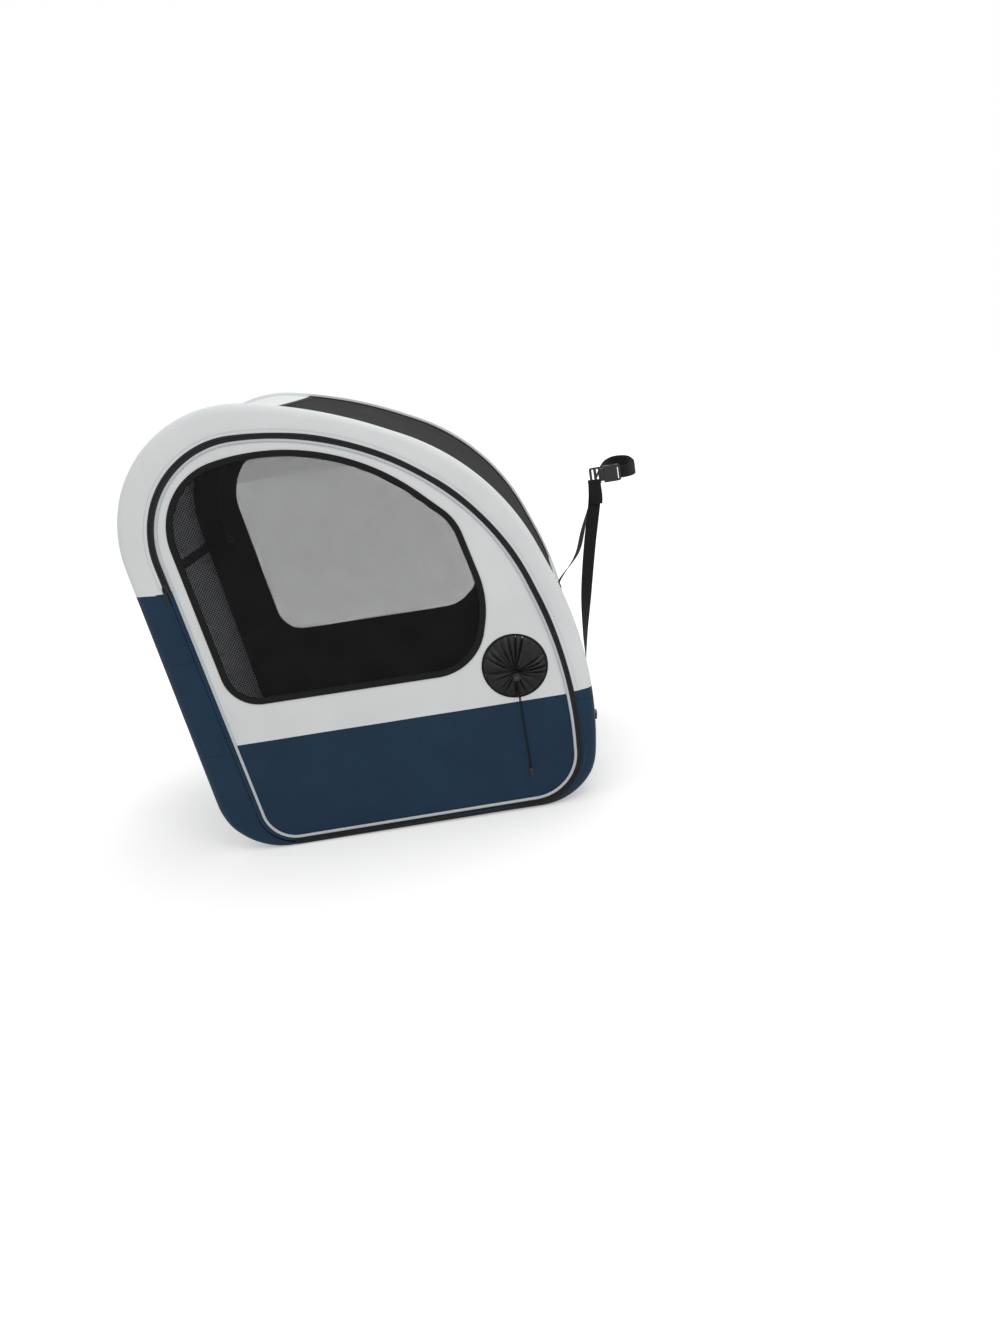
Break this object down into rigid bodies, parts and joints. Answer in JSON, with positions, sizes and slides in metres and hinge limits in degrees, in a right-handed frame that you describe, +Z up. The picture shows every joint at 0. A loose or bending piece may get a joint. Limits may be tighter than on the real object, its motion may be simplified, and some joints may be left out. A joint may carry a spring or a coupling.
{
  "type": "pet carrier bag",
  "caption": "Soft-sided pet carrier for a car seat with curved roof, two hinged zip doors with mesh windows, a gathered hand hole and a buckled seat strap.",
  "frame": {"origin": "centre of the flat part of the base, on its underside", "axes": "+X from the back wall to the front wall, +Y from the near door to the far door, +Z up"},
  "size_m": [1.0062, 0.6061, 0.8707],
  "materials": {
    "navy_fabric": "woven polyester, matt",
    "grey_fabric": "woven polyester, matt",
    "black_mesh": "open mesh",
    "black_binding": "ribbed binding tape",
    "zip_tape": "coil zip on woven tape",
    "piping": "smooth reflective piping",
    "spring_steel": "drawn spring steel",
    "rod": "pultruded fibreglass",
    "black_plastic": "moulded acetal",
    "board": "stiff sheet",
    "mat": "quilted polyester",
    "zip_metal": "painted zinc die casting",
    "satin": "satin polyester",
    "cord": "braided cord",
    "webbing": "ribbed polyester webbing"
  },
  "bodies": {
    "shell": {"base_panel": "navy_fabric", "back_panel_lower": "navy_fabric", "back_panel_upper": "grey_fabric", "roof_rear_panel": "grey_fabric", "roof_mesh": "black_mesh", "roof_binding": "black_binding", "front_panel_upper": "grey_fabric", "front_panel_lower": "navy_fabric", "near_rim_upper": "grey_fabric", "near_rim_lower": "navy_fabric", "far_rim_upper": "grey_fabric", "far_rim_lower": "navy_fabric", "near_hoop": "spring_steel", "far_hoop": "spring_steel", "cross_rods": "rod", "rod_connectors": "black_plastic", "base_board": "board", "floor_mat": "mat", "near_zip_outer": "zip_tape", "far_zip_outer": "zip_tape", "strap_upper": "webbing", "strap_lower": "webbing", "strap_tail": "webbing", "strap_anchors": "webbing", "lower_loop": "black_plastic", "buckle_housing": "black_plastic", "buckle_frame": "black_plastic"},
    "near_door": {"near_door_upper": "grey_fabric", "near_door_lower": "navy_fabric", "near_window_mesh": "black_mesh", "near_window_binding": "black_binding", "near_piping": "piping", "near_zip_inner": "zip_tape", "hand_hole_sleeve": "satin", "cord_lock": "black_plastic", "cord_lock_spring": "spring_steel", "draw_cord": "cord", "cord_end": "black_plastic"},
    "far_door": {"far_door_upper": "grey_fabric", "far_door_lower": "navy_fabric", "far_window_mesh": "black_mesh", "far_window_binding": "black_binding", "far_piping": "piping", "far_zip_inner": "zip_tape"},
    "near_slider": {"near_slider": "zip_metal"},
    "near_pull": {"near_pull": "zip_metal"},
    "far_slider": {"far_slider": "zip_metal"},
    "far_pull": {"far_pull": "zip_metal"},
    "cord_lock_button": {"cord_lock_button": "black_plastic"},
    "buckle_prong_top": {"buckle_prong_top": "black_plastic"},
    "buckle_prong_bottom": {"buckle_prong_bottom": "black_plastic"}
  },
  "joints": [
    {"name": "near_door_hinge", "type": "hinge", "parent": "shell", "child": "near_door", "pos_m": [-0.285, -0.285, 0.01], "axis": [0.1443, 0, -0.9895], "range_deg": [0, 110]},
    {"name": "far_door_hinge", "type": "hinge", "parent": "shell", "child": "far_door", "pos_m": [-0.285, 0.285, 0.01], "axis": [-0.1443, 0, 0.9895], "range_deg": [0, 110]},
    {"name": "near_zip_slide", "type": "slide", "parent": "shell", "child": "near_slider", "axis": [-0.1443, 0, 0.9895], "range_m": [0, 0.04]},
    {"name": "far_zip_slide", "type": "slide", "parent": "shell", "child": "far_slider", "axis": [-0.1443, 0, 0.9895], "range_m": [0, 0.04]},
    {"name": "near_pull_hinge", "type": "hinge", "parent": "near_slider", "child": "near_pull", "pos_m": [-0.36922, -0.288, 0.55972], "axis": [-0.9895, 0, -0.1443], "range_deg": [0, 180]},
    {"name": "far_pull_hinge", "type": "hinge", "parent": "far_slider", "child": "far_pull", "pos_m": [-0.36922, 0.288, 0.55972], "axis": [0.9895, 0, 0.1443], "range_deg": [0, 180]},
    {"name": "cord_lock_press", "type": "slide", "parent": "near_door", "child": "cord_lock_button", "axis": [0, 1, 0], "range_m": [0, 0.0035], "stiffness_N_per_m": 800, "springref_m": -0.0015, "deforming": ["cord_lock_spring"]},
    {"name": "buckle_top_press", "type": "hinge", "parent": "shell", "child": "buckle_prong_top", "pos_m": [0.5066, -0.085, 0.625], "axis": [0, 1, 0], "range_deg": [0, 6], "stiffness_Nm_per_rad": 0.3, "springref_deg": -2.86},
    {"name": "buckle_bottom_press", "type": "hinge", "parent": "shell", "child": "buckle_prong_bottom", "pos_m": [0.5066, -0.085, 0.609], "axis": [0, -1, 0], "range_deg": [0, 6], "stiffness_Nm_per_rad": 0.3, "springref_deg": -2.86}
  ]
}
